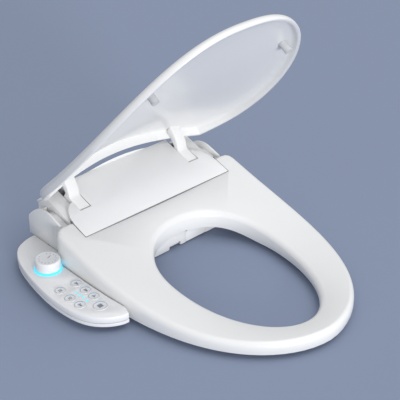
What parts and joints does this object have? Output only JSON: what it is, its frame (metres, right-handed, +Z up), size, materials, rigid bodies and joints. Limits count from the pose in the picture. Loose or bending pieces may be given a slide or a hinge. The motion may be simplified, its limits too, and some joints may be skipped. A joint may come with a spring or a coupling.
{
  "type": "electric bidet seat",
  "caption": "Electric bidet seat: heated oval seat and domed lid hinged to a low rear housing, with a side control panel carrying a dial and push buttons",
  "frame": {"origin": "underside of the mounting plate, midway between its two bolt slots, on the toilet bowl's rim", "axes": "+Z up, -Y towards the seat's nose, -X towards the side with the control panel"},
  "size_m": [0.4485, 0.509, 0.4349],
  "materials": {
    "white_shell": "smooth gloss",
    "satin_white": "satin",
    "bumper_rubber": "matt",
    "pin_steel": "brushed",
    "dark_plastic": "matt",
    "tank_plastic": "matt",
    "circuit_board": "solder mask",
    "light_guide": "clear tinted",
    "heater_foil": "foil"
  },
  "bodies": {
    "housing": {"base_tray": "white_shell", "control_panel_bottom": "white_shell", "control_panel_top": "white_shell", "cord_gland": "bumper_rubber", "dial_encoder": "dark_plastic", "dial_light_ring": "light_guide", "dryer_fan_housing": "dark_plastic", "hinge_block_left": "dark_plastic", "hinge_block_right": "dark_plastic", "hinge_pin_left": "pin_steel", "hinge_pin_right": "pin_steel", "indicator_light_guide": "light_guide", "lid_damper": "dark_plastic", "main_circuit_board": "circuit_board", "mounting_plate": "pin_steel", "nozzle_guide": "dark_plastic", "nozzle_motor": "dark_plastic", "panel_circuit_board": "circuit_board", "rear_deck": "white_shell", "rear_housing": "white_shell", "seat_damper": "dark_plastic", "side_cap_left": "white_shell", "side_cap_right": "white_shell", "top_cover": "white_shell", "water_heater_tank": "tank_plastic", "water_inlet_connector": "dark_plastic", "water_inlet_valve": "tank_plastic"},
    "lid": {"lid_bumper_left": "bumper_rubber", "lid_bumper_right": "bumper_rubber", "lid_shell": "white_shell"},
    "seat": {"seat_bottom_shell": "white_shell", "seat_bumper_front_left": "bumper_rubber", "seat_bumper_front_right": "bumper_rubber", "seat_bumper_rear_left": "bumper_rubber", "seat_bumper_rear_right": "bumper_rubber", "seat_heater": "heater_foil", "seat_hinge_lug_left": "white_shell", "seat_hinge_lug_right": "white_shell", "seat_top_shell": "white_shell"},
    "nozzles": {"nozzle_guard": "white_shell", "rear_wash_nozzle": "pin_steel", "front_wash_nozzle": "pin_steel"},
    "dial": {"dial_knob": "satin_white", "dial_shaft": "pin_steel"},
    "fan": {"dryer_fan_wheel": "dark_plastic"},
    "release": {"release_button": "satin_white"},
    "key_dryer": {"button_dryer": "satin_white"},
    "key_front_wash": {"button_front_wash": "satin_white"},
    "key_nozzle_clean": {"button_nozzle_clean": "satin_white"},
    "key_rear_wash": {"button_rear_wash": "satin_white"},
    "key_seat_heat": {"button_seat_heat": "satin_white"},
    "key_stop": {"button_stop": "satin_white"},
    "key_water_heat": {"button_water_heat": "satin_white"}
  },
  "joints": [
    {"name": "lid_hinge", "type": "hinge", "parent": "housing", "child": "lid", "pos_m": [0, -0.0135, 0.0675], "axis": [-1, 0, 0], "range_deg": [-56.3, 24]},
    {"name": "seat_hinge", "type": "hinge", "parent": "housing", "child": "seat", "pos_m": [0, -0.0135, 0.0675], "axis": [-1, 0, 0], "range_deg": [0, 46]},
    {"name": "nozzle_slide", "type": "slide", "parent": "housing", "child": "nozzles", "axis": [0, -0.9524, -0.3048], "range_m": [0, 0.06]},
    {"name": "dial_turn", "type": "hinge", "parent": "housing", "child": "dial", "pos_m": [-0.208, -0.072, 0.028], "axis": [0, 0, 1], "range_deg": [-150, 150]},
    {"name": "fan_spin", "type": "hinge", "parent": "housing", "child": "fan", "pos_m": [-0.028, 0.0035, 0.052], "axis": [1, 0, 0], "continuous": true},
    {"name": "release_press", "type": "slide", "parent": "housing", "child": "release", "axis": [-1, 0, 0], "range_m": [0, 0.003], "stiffness_N_per_m": 300, "springref_m": -0.002},
    {"name": "press_dryer", "type": "slide", "parent": "housing", "child": "key_dryer", "axis": [0, 0, -1], "range_m": [0, 0.0012], "stiffness_N_per_m": 400, "springref_m": -0.0006},
    {"name": "press_front_wash", "type": "slide", "parent": "housing", "child": "key_front_wash", "axis": [0, 0, -1], "range_m": [0, 0.0012], "stiffness_N_per_m": 400, "springref_m": -0.0006},
    {"name": "press_nozzle_clean", "type": "slide", "parent": "housing", "child": "key_nozzle_clean", "axis": [0, 0, -1], "range_m": [0, 0.0012], "stiffness_N_per_m": 400, "springref_m": -0.0006},
    {"name": "press_rear_wash", "type": "slide", "parent": "housing", "child": "key_rear_wash", "axis": [0, 0, -1], "range_m": [0, 0.0012], "stiffness_N_per_m": 400, "springref_m": -0.0006},
    {"name": "press_seat_heat", "type": "slide", "parent": "housing", "child": "key_seat_heat", "axis": [0, 0, -1], "range_m": [0, 0.0012], "stiffness_N_per_m": 400, "springref_m": -0.0006},
    {"name": "press_stop", "type": "slide", "parent": "housing", "child": "key_stop", "axis": [0, 0, -1], "range_m": [0, 0.0012], "stiffness_N_per_m": 400, "springref_m": -0.0006},
    {"name": "press_water_heat", "type": "slide", "parent": "housing", "child": "key_water_heat", "axis": [0, 0, -1], "range_m": [0, 0.0012], "stiffness_N_per_m": 400, "springref_m": -0.0006}
  ]
}
